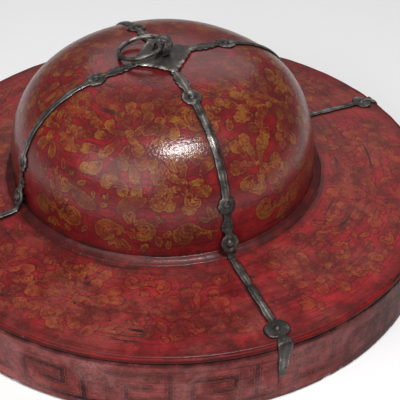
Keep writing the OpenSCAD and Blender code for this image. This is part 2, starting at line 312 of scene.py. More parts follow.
def curl(canvas, x, y, angle, size, hand, tail, rng):
    """Scroll: a spiral head at (x, y) that runs out into a long tapering tail."""
    t = np.linspace(0, 1, 15)
    rad = size * (0.08 + 0.64 * t**0.9)
    a = hand * 2 * pi * 1.05 * (t - 1) - hand * pi / 2
    head = np.stack([rad * np.cos(a), rad * np.sin(a)], -1)
    width = size * (0.235 - 0.1 * np.sin(pi * np.minimum(t * 1.3, 1)) + 0.05 * t)
    points, heading = 11, 0.0
    run, step = [head[-1]], tail * size / points
    for k in range(points):
        heading += hand * (0.16 if k < 4 else -0.16) * 0.9
        run.append(run[-1] + step * np.array([cos(heading), sin(heading)]))
    run = np.array(run[1:])
    path = np.concatenate([head, run])
    radii = np.concatenate([width, width[-1] * (1 - np.linspace(0.06, 0.93, points)) + 0.2])
    for k in (9, 12, 15, 18, 21):
        back = unit(path[k - 1] - path[k])
        off = -hand * np.array([-back[1], back[0]])
        lobe = path[k] + np.outer(np.linspace(0.1, 1, 5), (0.5 * off - 0.25 * back) * size)
        canvas.stroke(x, y, angle, lobe, size * np.array([0.16, 0.19, 0.19, 0.14, 0.07]),
                      (rng(0.2, 0.5), rng(0.7, 1)))
    canvas.stroke(x, y, angle, path, radii, (rng(1.0, 1.3), rng(0.6, 0.9)))
    canvas.stroke(x, y, angle, path[6:21], np.full(15, 0.34), ink=True)


def flower(canvas, x, y, size, rng, rings=(18, 15, 11, 8, 4)):
    """Full blossom of rounded petals in uneven rings, the inner ones over the outer ones. The
    petals lean towards the top, as in a flower seen from below its middle."""
    count = len(rings)
    for k, petals in enumerate(rings):
        mid = size * (1 - (k + 0.45) / count)
        width = min(2 * pi * mid / petals * 0.95, size * 1.2 / count)
        start = rng(0, 6)
        for j in range(petals):
            a = start + 2 * pi * (j + rng(-0.3, 0.3)) / petals
            d = mid * rng(0.88, 1.1)
            lean = 0.35 * cos(a) + rng(-0.45, 0.45)
            petal(canvas, x + d * cos(a), y + d * sin(a), a + lean,
                  size * 1.5 / count * rng(0.8, 1.2), width * rng(0.75, 1.05), rng)
    canvas.stroke(x, y, 0, [(-0.5, 0), (0.5, 0)], [size * 0.07, size * 0.07], (0.9, 0.9))


def tuft(canvas, x, y, angle, size, rng, count, spread):
    """A spray of leaves from one root."""
    for k in range(count):
        a = angle + spread * (k - (count - 1) / 2)
        length = size * rng(0.85, 1.1)
        leaf(canvas, x + length * 0.55 * cos(a), y + length * 0.55 * sin(a), a, length,
             length * 0.42, rng(-0.14, 0.14), rng)


def scroll_row(canvas, x0, x1, y, size, rng, flip):
    """Running scrolls from x0 to x1, their heads turned up and down in turn."""
    count = max(2, round((x1 - x0) / (size * 2.7)))
    for k in range(count):
        x = x0 + (x1 - x0) * (k + 0.5) / count + rng(-1, 1) * size * 0.15
        up = flip if k % 2 == 0 else -flip
        yy = y + up * size * 0.3
        side = pi if k % 2 else 0.0
        curl(canvas, x, yy, side + rng(-0.25, 0.25), size * rng(0.9, 1.1),
             up if side == 0 else -up, 2.3, rng)
        tuft(canvas, x + size * 1.55 * (1 if side == 0 else -1), yy - up * size * 0.9,
             -up * pi / 2 + rng(-0.4, 0.4), size * 0.95, rng, 3, 0.75)


def fill_gaps(canvas, half, low, high, rng, tries=260, biggest=6.5):
    """Small leaves and curls wherever the ground still shows."""
    for _ in range(tries):
        x, y = rng(-half, half), rng(low, high)
        free = min(-canvas.depth(x, y) - 0.9, biggest)
        if free < 2.0:
            continue
        if free > 3.6 and rng() < 0.55:
            curl(canvas, x, y, rng(0, 6.28), free * 0.8, 1 if rng() < 0.5 else -1, 1.3, rng)
        else:
            leaf(canvas, x, y, rng(0, 6.28), free * 2.5, free * 1.35, rng(-0.12, 0.12), rng)


def paint_crown(canvas, sector, rng, mirror):
    """One sector of the crown, in mm from the sector's middle and up from the crown's foot."""
    half = radians(sector[1] - sector[0]) / 2 * CROWN_R - 15
    scroll_row(canvas, -half, half, 22, 10.5, rng, mirror)
    flower(canvas, -mirror * half * 0.08, 88, 39, rng)
    for side in (-1, 1):
        outer = side * half * 0.72
        flower(canvas, outer * 1.02, 66 + 9 * side * mirror, 18, rng, (8, 5))
        curl(canvas, side * half * 0.5, 45, pi / 2 - side * 0.9, 7.5, side, 2.2, rng)
        curl(canvas, side * half * 0.86, 44, pi / 2 + side * 0.6, 6.5, -side, 1.6, rng)
        leaf(canvas, side * half * 0.26, 41, side * 0.5 + (0 if side > 0 else pi), 22, 11, 0.1,
             rng)
        tuft(canvas, side * half * 0.62, 93, pi / 2 - side * 0.7, 14, rng, 4, 0.55)
        curl(canvas, side * half * 0.52, 116, pi / 2 + side * 1.1, 6.0, side, 2.0, rng)
        tuft(canvas, side * half * 0.24, 127, pi / 2 - side * 0.35, 12, rng, 3, 0.6)
    tuft(canvas, 0, 133, pi / 2, 12, rng, 3, 0.7)
    fill_gaps(canvas, half, 36, 118, rng)
    fill_gaps(canvas, half * 0.8, 10, 34, rng, 60, 4.5)


def paint_brim(canvas, sector, rng, mirror):
    """One sector of the brim, in mm from the sector's middle and in from the rim."""
    half = radians(sector[1] - sector[0]) / 2 * MID_BRIM_R - 16
    flower(canvas, mirror * 12, 40, 27, rng, (11, 7, 4))
    for side in (-1, 1):
        flower(canvas, side * half * 0.72, 37, 18, rng, (9, 5))
        scroll_row(canvas, side * half * 0.36 - 22, side * half * 0.36 + 22, 58, 6.6, rng, side)
        scroll_row(canvas, side * half * 0.4 - 26, side * half * 0.4 + 26, 19, 6.4, rng, -side)
        curl(canvas, side * half * 0.93, 60, pi / 2 - side * 0.8, 6.5, side, 2.2, rng)
        curl(canvas, side * half * 0.5, 38, pi / 2 + side * 1.2, 6.5, -side, 2.4, rng)
        tuft(canvas, side * half * 0.9, 17, pi / 2 - side, 13, rng, 3, 0.6)
    fill_gaps(canvas, half, 12, 68, rng, 420, 5.5)


def fret(u, v, wide, high):
    """Distance inside the lines of a running key pattern of 16 columns and 5 rows, in cells of
    wide by high; v is 0 at its lower line."""
    hook = [(0, 0), (0, 5), (6, 5), (6, 1), (2, 1), (2, 3), (4, 3)]
    turned_hook = [(14 - x, 5 - y) for x, y in hook]
    lines = [hook, turned_hook, [(-2, 0), (0, 0)], [(14, 0), (16, 0)]]
    best = np.full(len(u), -9.0)
    q = np.stack([np.mod(u, 16 * wide), v], -1)
    for line in lines:
        for a, b in zip(line[:-1], line[1:]):
            a, b = np.array(a) * (wide, high), np.array(b) * (wide, high)
            ab = b - a
            t = np.clip((q - a) @ ab / (ab @ ab), 0, 1)
            best = np.maximum(best, high * 0.42 - np.max(np.abs(q - a - t[:, None] * ab), 1))
    return best


# ---- materials
def shade(colour, *share):
    """colour times one share, or times a share for each of its channels."""
    return tuple(c * k for c, k in zip(colour, share if len(share) > 1 else share * 3))


class Shader:
    """A Principled material and short names for the nodes that drive it."""

    def __init__(self, name, **sockets):
        self.material = bpy.data.materials.new(name)
        self.material.use_nodes = True
        self.tree = self.material.node_tree
        self.surface = self.tree.nodes["Principled BSDF"]
        self.at = self.node("ShaderNodeTexCoord").outputs["Object"]
        self.set(**sockets)

    def plug(self, socket, value):
        if isinstance(value, bpy.types.NodeSocket):
            self.tree.links.new(value, socket)
        elif value is not None:
            socket.default_value = value

    def set(self, **sockets):
        for key, value in sockets.items():
            self.plug(self.surface.inputs[key.replace("_", " ")], value)

    def node(self, kind, inputs=(), **props):
        made = self.tree.nodes.new(kind)
        for key, value in props.items():
            setattr(made, key, value)
        for key, value in dict(inputs).items():
            self.plug(made.inputs[key], value)
        return made

    def attr(self, name):
        return self.node("ShaderNodeAttribute", attribute_name=name).outputs["Fac"]

    def xyz(self):
        return self.node("ShaderNodeSeparateXYZ", {0: self.at}).outputs

    def math(self, op, a, b=None):
        return self.node("ShaderNodeMath", {0: a, 1: b}, operation=op).outputs[0]

    def times(self, a, b):
        return self.math("MULTIPLY", a, b)

    def stretch(self, x, y, z):
        """Object coordinates scaled per axis, in features per metre."""
        return self.node("ShaderNodeVectorMath", {0: self.at, 1: (x, y, z)},
                         operation="MULTIPLY").outputs[0]

    def polar(self, k, kr):
        """Coordinates that change slowly along x and y and fast with distance from the axis."""
        x, y, _ = self.xyz()
        r = self.math("SQRT", self.math("ADD", self.times(x, x), self.times(y, y)))
        return self.node("ShaderNodeCombineXYZ", {
            0: self.times(x, k), 1: self.times(y, k), 2: self.times(r, kr)}).outputs[0]

    def noise(self, scale, detail=3.0, rough=0.55, at=None, warp=0.0):
        return self.node("ShaderNodeTexNoise", {
            "Vector": at or self.at, "Scale": scale, "Detail": detail, "Roughness": rough,
            "Distortion": warp}).outputs["Fac"]

    def cells(self, scale, feature="F1"):
        return self.node("ShaderNodeTexVoronoi", {"Vector": self.at, "Scale": scale},
                         feature=feature).outputs["Distance"]

    def span(self, value, lo, hi, a=0.0, b=1.0):
        """value from lo to hi, eased onto a to b."""
        return self.node("ShaderNodeMapRange", {
            "Value": value, "From Min": lo, "From Max": hi, "To Min": a, "To Max": b},
            interpolation_type="SMOOTHSTEP").outputs["Result"]

    def mix(self, share, a, b):
        made = self.node("ShaderNodeMix", data_type="RGBA")
        for socket, value in zip([made.inputs["Factor"], made.inputs[6], made.inputs[7]],
                                 [share, a, b]):
            if not isinstance(value, bpy.types.NodeSocket) and hasattr(value, "__len__"):
                value = (*value, 1.0)
            self.plug(socket, value)
        return made.outputs[2]

    def layers(self, base, *coats):
        """base under coats of (share, colour), the last one on top."""
        for share, colour in coats:
            base = self.mix(share, base, colour)
        return base

    def bump(self, height, strength, distance, under=None):
        return self.node("ShaderNodeBump", {
            "Height": height, "Strength": strength, "Distance": distance, "Normal": under,
        }).outputs["Normal"]


def lacquer(name, streaks, gold, dust, dirt, gloss, red=(0.21, 0.006, 0.009), shine=0.22,
            crackle=0.6, hold=0.15, powder=(0.28, 0.085, 0.065), line=(0.30, 0.138, 0.017),
            fill=(0.225, 0.092, 0.010), rim=(0.5, 1.3)):
    """Old red lacquer with worn gold painting. streaks is "height" or "radius", and rim tells
    how far in from its edge, in mm, a stroke keeps the colour of its line. hold is the share of
    the painting left in the most worn spots."""
    m = Shader(name, Coat_Weight=gloss, Coat_Roughness=0.14, Specular_IOR_Level=shine)

    def drawn(slow, radial, upward, detail, rough, warp=0.0):
        """Noise drawn out into streaks along the brush."""
        at = m.polar(slow, radial) if streaks == "radius" else m.stretch(slow, slow, upward)
        return m.noise(1, detail, rough, at, warp)

    mid = m.noise(85, 6, 0.72)
    fine = m.noise(520, 4, 0.7)
    lines = drawn(16, 520, 560, 5, 0.7, 0.4)
    base = m.layers(
        m.mix(m.span(m.noise(11, 4), 0.38, 0.62), shade(red, 0.58), red),
        (m.span(mid, 0.42, 0.66, 0, 0.6), shade(red, 1.75)),
        (m.span(fine, 0.4, 0.7, 0, 0.45), (0.075, 0.006, 0.006)),
        (m.span(lines, 0.48, 0.64, 0, 0.6), (0.06, 0.003, 0.005)))

    # the gold: a dark red gap at the edge of each stroke, a pale outline, an olive filling
    if gold > 0:
        ragged = m.math("ADD", m.attr("paint"), m.span(m.noise(650, 2), 0.3, 0.7, -0.35, 0.35))
        outline = m.times(m.span(ragged, 0.1, 0.4), m.span(ragged, *rim, 1, 0))
        painted = m.layers(
            m.mix(m.span(mid, 0.35, 0.65), shade(fill, 0.72), fill),
            (m.span(m.attr("tone"), 0.35, 1.05, 0.95, 0), shade(fill, 0.42, 0.24, 0.6)),
            (m.times(outline, 0.55), line),
            (m.span(m.attr("ink"), -0.35, 0.1, 0, 0.75), (0.07, 0.006, 0.005)))
        spared = m.span(m.math("ADD", m.times(mid, 0.5), m.times(fine, 0.5)), 0.42, 0.57, hold, 1)
        kept = m.times(m.times(m.span(ragged, 0.1, 0.45), spared), m.attr("fade"))
        gap = m.times(m.span(ragged, -1.0, -0.1), m.span(ragged, 0.0, 0.5, 1, 0))
        base = m.layers(base, (m.times(kept, gold), painted),
                        (m.times(gap, 0.7), (0.070, 0.005, 0.006)))

    # wear and painted shade: dust veil, mottling, painted shade in crevices, under the beads and
    # beside the straps with some grime, pale flecks, then dark spots and scratches
    veil = m.times(m.span(m.noise(26, 5, 0.6), 0.4, 0.68), m.span(fine, 0.25, 0.65))
    veil = m.times(veil, m.span(m.attr("grime"), 0.2, 0.9, 1, 0.1))
    spots = m.span(m.noise(110, 6, 0.75), 0.6, 0.68)
    scratch = m.times(m.span(drawn(30, 1500, 1500, 3, 0.6), 0.6, 0.7),
                      m.span(m.noise(24, 2), 0.46, 0.58))
    smear = m.times(m.span(drawn(9, 230, 200, 5, 0.7, 0.5), 0.57, 0.64),
                    m.span(m.noise(13, 3), 0.5, 0.6))
    marks = m.math("MAXIMUM", m.math("MAXIMUM", spots, scratch), smear)
    base = m.layers(
        base, (m.times(veil, dust), powder),
        (m.times(m.span(m.noise(40, 8, 0.78), 0.47, 0.61), 0.7 * dirt), (0.07, 0.010, 0.009)),
        # painted shade with some grime: dark in crevices, under the beads and beside the straps
        (m.times(m.attr("grime"), m.span(m.noise(70, 5, 0.7), 0.36, 0.6, 0.35, 0.95)),
         (0.028, 0.008, 0.007)),
        (m.span(m.noise(380, 3, 0.6), 0.64, 0.76, 0, 0.35), (0.40, 0.13, 0.11)),
        (m.times(marks, dirt), (0.030, 0.011, 0.011)))

    normal = m.bump(m.noise(48, 2), 0.5, 0.0006)
    normal = m.bump(m.cells(330, "DISTANCE_TO_EDGE"), crackle * 0.35, 0.0004, normal)
    normal = m.bump(m.noise(700, 3, 0.6), crackle * 0.6, 0.00018, normal)
    normal = m.bump(lines, 0.25, 0.0003, normal)
    m.set(Base_Color=base, Normal=normal, Coat_Normal=normal, Roughness=m.math(
        "ADD", m.span(fine, 0.3, 0.7, 0.34, 0.5), m.times(veil, 0.2 * dust)))
    return m.material


def iron(name, tint, bright):
    """Forged iron: dark scale and pits, rubbed bright where the attribute for wear and shade is
    high,
    and near black below zero: painted shade along the straps' edges and underside, with some dirt."""
    m = Shader(name, Metallic=0.45, Specular_IOR_Level=0.45)
    mid, fine = m.noise(130, 4, 0.65), m.noise(620, 4, 0.7)
    rub = m.times(m.math("MAXIMUM", m.attr("wear"), 0.0), m.span(mid, 0.38, 0.6))
    rub = m.times(rub, m.span(m.noise(26, 2), 0.4, 0.6, 0.3, 1))
    base = m.layers(
        m.mix(m.span(mid, 0.35, 0.7), shade(tint, 0.45), tint),
        (m.times(rub, bright), (0.72, 0.67, 0.62)),
        (m.span(m.noise(60, 4, 0.65), 0.42, 0.58, 0, 0.7), (0.022, 0.018, 0.016)),
        (m.span(m.noise(210, 4, 0.7), 0.6, 0.72, 0, 0.6), (0.055, 0.026, 0.017)),
        # painted shade with some dirt: near black below zero, on the straps' side edges and
        # underside
        (m.span(m.attr("wear"), -0.8, -0.1, 1, 0), (0.006, 0.004, 0.004)))
    m.set(Base_Color=base, Normal=m.bump(fine, 0.5, 0.0004, m.bump(mid, 0.55, 0.0009)),
          Roughness=m.span(m.math("ADD", fine, m.times(rub, -0.35)), 0.2, 0.8, 0.2, 0.6))
    return m.material


def cloth(name, colour, dark, threads):
    """Plain weave, from two crossing sets of threads on any face."""
    m = Shader(name, Roughness=0.9, Sheen_Weight=0.3, Sheen_Roughness=0.5)
    x, y, z = m.xyz()
    warp = m.math("SINE", m.times(m.math("ARCTAN2", y, x), threads * 0.55))
    weave = m.times(warp, m.math("SINE", m.times(z, threads * 5.6)))
    base = m.layers(
        m.mix(m.span(m.noise(30, 4), 0.35, 0.7), dark, colour),
        (m.span(weave, -0.6, 0.8, 0.0, 0.35), shade(dark, 0.6)),
        (m.span(m.noise(110, 4, 0.7), 0.6, 0.75, 0, 0.5), shade(dark, 0.4)))
    m.set(Base_Color=base,
          Normal=m.bump(m.noise(900, 3), 0.3, 0.0002, m.bump(weave, 0.35, 0.0002)))
    return m.material


def leather(name, colour, dark):
    m = Shader(name, Coat_Weight=0.1)
    base = m.layers(m.mix(m.span(m.noise(24, 5), 0.35, 0.7), dark, colour),
                    (m.span(m.noise(160, 4), 0.58, 0.75, 0, 0.6), shade(dark, 0.5)))
    m.set(Base_Color=base, Roughness=m.span(m.noise(200, 3), 0.3, 0.7, 0.4, 0.68),
          Normal=m.bump(m.noise(140, 3), 0.3, 0.0006, m.bump(m.cells(900), 0.35, 0.0003)))
    return m.material


def cane(name):
    m = Shader(name, Roughness=0.55)
    grain = m.noise(1, 5, 0.7, m.polar(20, 2600))
    base = m.layers(m.mix(m.span(grain, 0.35, 0.7), (0.20, 0.10, 0.035), (0.42, 0.26, 0.11)),
                    (m.span(m.noise(60, 4), 0.5, 0.72, 0, 0.6), (0.14, 0.07, 0.03)))
    m.set(Base_Color=base, Normal=m.bump(grain, 0.5, 0.0003))
    return m.material


CROWN_LACQUER = lacquer("crown_lacquer", "height", gold=0.9, dust=0.2, dirt=0.8, gloss=0.5,
                        shine=0.18, crackle=0.8)
BRIM_LACQUER = lacquer("brim_lacquer", "radius", gold=0.85, dust=0.5, dirt=1.0, gloss=0.1,
                       red=(0.26, 0.015, 0.018), line=(0.34, 0.13, 0.018),
                       fill=(0.31, 0.105, 0.015))
RIM_LACQUER = lacquer("rim_lacquer", "height", gold=1.0, dust=0.85, dirt=0.6, gloss=0.0,
                      shine=0.06, hold=0.6, powder=(0.34, 0.15, 0.145),
                      red=(0.24, 0.050, 0.047), line=(0.34, 0.14, 0.06),
                      fill=(0.040, 0.016, 0.015), rim=(0.45, 0.9))
BEAD_LACQUER = lacquer("bead_lacquer", "radius", gold=0, dust=0.3, dirt=1.0, gloss=0.0,
                       shine=0.1, red=(0.20, 0.008, 0.010))
FOOT_LACQUER = lacquer("foot_bead_lacquer", "radius", gold=0, dust=0.6, dirt=1.0, gloss=0.1,
                       red=(0.16, 0.012, 0.012))
IRON = iron("forged_iron", (0.112, 0.092, 0.080), 0.9)
RING_IRON = iron("ring_iron", (0.075, 0.063, 0.055), 0.8)
RIVET_IRON = iron("rivet_iron", (0.055, 0.046, 0.040), 0.75)
HIDDEN_IRON = iron("hidden_iron", (0.09, 0.075, 0.06), 0.2)
LINING = cloth("lining_cloth", (0.42, 0.24, 0.055), (0.26, 0.13, 0.03), 1100)
PAD_CLOTH = cloth("pad_cloth", (0.16, 0.035, 0.03), (0.09, 0.018, 0.016), 900)
SWEAT_LEATHER = leather("sweat_leather", (0.30, 0.14, 0.06), (0.16, 0.065, 0.028))
CANE = cane("cane")


# ---- the lacquered shell
def crown_shell():
    cols = 600
    s = np.concatenate([[0.7], np.linspace(1.8, MER_FOOT, 137), [MER_FOOT + 3.6]])
    outer = crown_frame(circle(cols)[None, :], s[:, None])[0].reshape(-1, 3)
    inner_r = np.array([1.0, 0.985, 0.94, 0.86, 0.74, 0.56, 0.36, 0.12, 0.01])
    z_in = SHOULDER_Z + (DOME_H - CROWN_T) * (1 - inner_r**FULLNESS) ** (1 / FULLNESS)
    r_in = np.insert((CROWN_R - CROWN_T) * inner_r, 0, CROWN_R - CROWN_T)
    z_in = np.insert(z_in, 0, FOOT_Z - BRIM_T)
    inner = turned(np.stack([r_in, z_in], -1), cols, CROWN_C)

    def place(x, y):
        at = MER_FOOT - y
        angle = middle + x / max(np.interp(at, MER_S, MER_R), 48)
        p, _, down, around = crown_frame(angle, at)
        return p, around, -down

    canvas = Canvas(outer, place)
    for k, sector in enumerate(SECTORS):
        middle = radians(sum(sector) / 2)
        paint_crown(canvas, sector, Rng(11 + 7 * k), 1 if k % 2 else -1)
    fade = np.repeat(1 - 0.85 * smooth(-s, -68, -32), cols)
    # painted shade: darker in the crevice at the foot, and strap_shadow adds a painted shadow
    # beside each strap
    grime = np.repeat(smooth(s, MER_FOOT - 9, MER_FOOT), cols)
    grime = np.maximum(grime, strap_shadow(outer))
    return mesh_object("crown", np.concatenate([outer, inner]),
                       capped_faces(len(s) + len(r_in), cols), CROWN_LACQUER,
                       canvas.attributes(len(inner), fade, grime))


def brim():
    cols, rows, under_rows = 900, 66, 8
    a = circle(cols)
    along, across = off_centre(a)
    hole = np.sqrt((CROWN_R + 0.05) ** 2 - across**2) + along

    def sheet(t, lift):
        """Rows of vertices at shares t of the way from the hole to the rim."""
        r = hole * (1 - t) + BRIM_R * t
        return r, np.stack([r * np.cos(a), r * np.sin(a), brim_z(r) + lift], -1).reshape(-1, 3)

    t = np.linspace(0, 1, rows)[:, None]
    wave = (0.25 * np.sin(3 * a + 1) + 0.2 * np.sin(5 * a + 2.6) + 0.12 * np.sin(11 * a))
    r, top = sheet(t, wave * np.sin(pi * t))
    _, under = sheet(np.linspace(1, 0, under_rows)[:, None], -BRIM_T)

    def place(x, y):
        r0 = BRIM_R - y
        angle = middle + x / MID_BRIM_R
        c, s = cos(angle), sin(angle)
        return (np.array([r0 * c, r0 * s, brim_z(r0)]), np.array([-s, c, 0]),
                np.array([-c, -s, 0.08]))

    canvas = Canvas(top, place)
    for k, sector in enumerate(SECTORS):
        middle = radians(sum(sector) / 2)
        paint_brim(canvas, sector, Rng(101 + 9 * k), 1 if k % 2 else -1)
    fade = np.tile(0.65 + 0.35 * np.sin(a * 3 + 0.9) * np.sin(a * 2 + 2.0), rows)
    # painted shade: dark in the crevice by the crown's foot, and strap_shadow adds a painted
    # shadow beside each strap; darker towards the outer edge as well
    grime = 1 - smooth(r - hole, 2, 13) + 0.45 * smooth(r, BRIM_R - 12, BRIM_R - 2)
    grime = np.maximum(grime.reshape(-1), strap_shadow(top))
    return mesh_object("brim", np.concatenate([top, under]),
                       grid_faces(rows + under_rows, cols, wrap_rows=True), BRIM_LACQUER,
                       canvas.attributes(len(under), fade, grime))


def ragged_edge(a):
    """How much is chipped off the rim's lower edge, in mm."""
    rng = Rng(5)
    chips = [(rng(0, 2 * pi), rng(0.006, 0.022), rng(0.3, 1.5), 0.4) for _ in range(46)]
    chips += [(radians(273.5), 0.02, 2.6, 0.5), (radians(277.0), 0.014, 1.8, 0.5)]
    gone = np.zeros_like(a)
    for at, wide, deep, flat in chips:
        gone = np.maximum(gone, deep * (1 - smooth(np.abs(apart(a, at)), wide * flat, wide)))
    return gone


def rim_wall():
    cols = 1080
    a = circle(cols)
    top, inside, rows = RIM_Z - BRIM_T - 0.05, RIM_R - WALL_T, 37
    z = np.concatenate([[top, top - 0.5], np.linspace(top - 1.4, 1.6, rows), [0.6, 0.0]])
    inset = np.concatenate([[0.9, 0.25], np.zeros(rows), [0.35, 1.1]])
    outer = np.stack([RIM_R - inset, z], -1)
    inner = [(inside + 1.2, 0), (inside, 0.8), (inside, 14), (inside, 30), (inside, top)]
    chips = ragged_edge(a)

    def shift(grid, angles):
        low = 1 - smooth(grid[..., 2], 0.5, 6)
        grid[..., 2] += chips * low * (1 - grid[..., 2] / 6).clip(0, 1)
        slack = 0.22 * np.sin(4 * angles + 0.5) + 0.15 * np.sin(9 * angles)
        scale = 1 - (0.25 + slack * 0.5) * smooth(grid[..., 2], 2, 20) * (
            1 - smooth(grid[..., 2], 30, 43)) / RIM_R
        grid[..., :2] *= scale[..., None]
        return grid

    verts = turned(np.concatenate([outer, inner]), cols, shift=shift)
    count = len(outer) * cols
    v = verts[:count, 2]
    u = np.tile(a * RIM_R, len(outer))
    repeats, columns = 11, 16
    canvas = Canvas(verts[:count], None)
    canvas.paint = fret(u, v - 6.5, 2 * pi * RIM_R / (columns * repeats), 5.6)
    fade = 0.8 + 0.2 * np.sin(u / 31) * np.sin(u / 47 + 1)
    # painted shade: dark just under the bead, and around 5.6 rad on the side turned away from the
    # lamps; darker towards the bottom edge
    grime = 0.9 * smooth(v, 40, 43.5) + 0.8 * (1 - smooth(v, 0, 4))
    grime += 0.9 * np.exp(-(apart(u / RIM_R, 5.6) / 0.8) ** 4)
    return mesh_object("rim_wall_leather", verts,
                       grid_faces(len(outer) + len(inner), cols, wrap_rows=True), RIM_LACQUER,
                       canvas.attributes(len(verts) - count, fade, grime))


def turned_ring(name, profile, cols, material, shift, centre=CROWN_C, attrs=None):
    """A closed profile turned right round."""
    return mesh_object(name, turned(profile, cols, centre, shift),
                       grid_faces(len(profile), cols, wrap_rows=True), material, attrs)


def rim_bead():
    cols, top = 720, RIM_Z
    ring = [(BRIM_R + 0.05, top - BRIM_T + 0.05), (RIM_R - 1.2, top - BRIM_T + 0.25),
            (RIM_R - 0.4, top - 3.0), (RIM_R - 0.04, top - 2.2), (RIM_R - 0.2, top - 1.2),
            (RIM_R - 0.75, top - 0.45), (RIM_R - 1.5, top - 0.05), (BRIM_R + 0.4, top - 0.05),
            (BRIM_R + 0.05, top - 0.3)]

    def shift(grid, a):
        worn = 0.16 * np.sin(23 * a) * np.sin(7 * a + 1) + 0.1 * np.sin(61 * a + 2) - 0.15
        edge = smooth(grid[..., 2], top - 3.4, top - 1.0)
        grid[..., :2] *= (1 + worn * edge / RIM_R)[..., None]
        return grid

    # painted shade with some dirt: dark on the bead's underside, outer edge and joint with the
    # brim, light on its top
    grime = np.repeat([1.0, 1.0, 1.0, 1.0, 0.7, 0.1, 0.0, 0.2, 0.8], cols)
    return turned_ring("rim_bead", ring, cols, BEAD_LACQUER, shift, (0, 0, 0), {"grime": grime})


def foot_bead():
    """Low uneven roll of lacquered cord and putty in the corner between crown and brim."""
    cols = 540
    ring = [(109.1, 54.0), (109.2, 57.6), (109.5, 57.5), (110.1, 56.7), (110.9, 55.8),
            (111.8, 55.1), (112.8, 54.6), (113.9, 54.2), (115.0, 53.85), (115.2, 53.0)]

    def shift(grid, a):
        worn = 0.5 * np.sin(5 * a + 1) + 0.3 * np.sin(13 * a) + 0.25 * np.sin(29 * a + 2)
        share = np.clip((grid[..., 2] - 53.5) / 5, 0, 1)
        grid[..., 2] += share * (worn * 0.55 - 0.5)
        grid[..., 2] -= off_centre(a)[0] * BRIM_RISE / (BRIM_R - CROWN_R)
        grid[..., :2] *= (1 + (0.12 * np.sin(41 * a) + 0.1 * np.sin(67 * a)) / 112)[:, None]
        return grid

    # painted shade: the bead is dark all round as in a crevice, less on its rounded face, least
    # where rubbed at 4.2 rad
    rubbed = np.exp(-(apart(circle(cols), 4.2) / 0.3) ** 2)
    ease = np.array([0, 0.1, 0.2, 0.4, 0.6, 0.7, 0.7, 0.5, 0.2, 0])
    grime = (1.0 - ease[:, None] * (0.25 + 0.75 * rubbed)).reshape(-1)
    return turned_ring("foot_bead", ring, cols, FOOT_LACQUER, shift, attrs={"grime": grime})


# ---- forged iron straps
ACROSS = np.array([-1, -0.98, -0.86, -0.64, -0.36, -0.14, 0, 0.14, 0.36, 0.64, 0.86, 0.98, 1])
BEVEL = np.array([0.12, 0.5, 0.82, 0.95, 1.03, 1.1, 1.13, 1.1, 1.03, 0.95, 0.82, 0.5, 0.12])


def resample(path, step):
    path = np.asarray(path, float)
    s = lengths(path)
    at = np.linspace(0, s[-1], int(s[-1] / step) + 1)
    return np.stack([np.interp(at, s, path[:, k]) for k in range(path.shape[1])], -1)


def relaxed(path, passes):
    path = path.copy()
    for _ in range(passes):
        path[1:-1] = (path[:-2] + 2 * path[1:-1] + path[2:]) / 4
    return path


def meridian_strip(path, angle):
    """Lie of a strip along a path of (distance from the crown's axis, height): each point's
    distance along it, its place, its outward normal and its sideways direction."""
    ca, sa = cos(radians(angle)), sin(radians(angle))
    d = unit(np.gradient(path, axis=0))
    centre = np.stack([path[:, 0] * ca, path[:, 0] * sa, path[:, 1]], -1) + CROWN_C
    normal = np.stack([-d[:, 1] * ca, -d[:, 1] * sa, d[:, 0]], -1)
    return lengths(path), centre, normal, np.repeat(np.array([[-sa, ca, 0.0]]), len(path), 0)


def ribbon(name, centre, normal, side, half, height, fall):
    """Forged strip along centre. half(s) is its half width, height(s, x) its thickness as a share
    of STRAP_T, and fall(s) the curvature of the surface under it, across the strip."""
    s = lengths(centre)
    x = half(s)[:, None] * ACROSS
    share = height(s[:, None], x)
    drop = x**2 / 2 * fall(s)[:, None]

    def surface(x, lift):
        return centre[:, None] + side[:, None] * x[..., None] + normal[:, None] * (
            lift - drop)[..., None]

    top, low = surface(x, STRAP_T * BEVEL * share), surface(x * 0.98, 0.02)
    loop = np.concatenate([top, low[:, ::-4]], axis=1)
    n, k = loop.shape[:2]
    worn = np.clip(1.6 * np.abs(ACROSS) ** 6 + np.exp(-(ACROSS / 0.16) ** 2) * 0.8, 0, 1)
    # -1 on the strap's side edges and underside is painted shade, black against the lacquer, with
    # some dirt; above zero is wear on its edges and ridge
    worn = np.where(np.abs(ACROSS) > 0.97, -1.0, worn) * np.clip(share, 0.4, 1.2)
    wear = np.concatenate([worn, np.full((n, k - len(ACROSS)), -1.0)], axis=1)
    return mesh_object(name, loop.reshape(-1, 3), capped_faces(n, k), IRON,
                       {"wear": wear.reshape(-1)})


def disc(s, at, radius):
    return np.sqrt(np.maximum(radius**2 - (s - at) ** 2, 0))


def dish(s, x, at, radius):
    """Relief of a rosette: a raised rim round a sunk middle."""
    rho = np.hypot(s - at, x) / radius
    return 0.78 + 0.5 * smooth(rho, 0.42, 0.72) - 0.28 * smooth(rho, 0.8, 1.0)


def strap_shadow(points):
    """1 in the painted shadow along each strap, under it and just beside it, fading to 0 away from
    it.
    """
    clear, wide = 3.1, 1.7
    flat = points[:, :2] - CROWN_C[:2]
    shadow = np.zeros(len(points))
    for angle in STRAPS.values():
        c, s = cos(radians(angle)), sin(radians(angle))
        across = np.abs(flat[:, 1] * c - flat[:, 0] * s)
        beside = 1 - smooth(across, clear, clear + wide)
        shadow = np.maximum(shadow, np.where(flat @ (c, s) > 0, beside, 0))
    return shadow


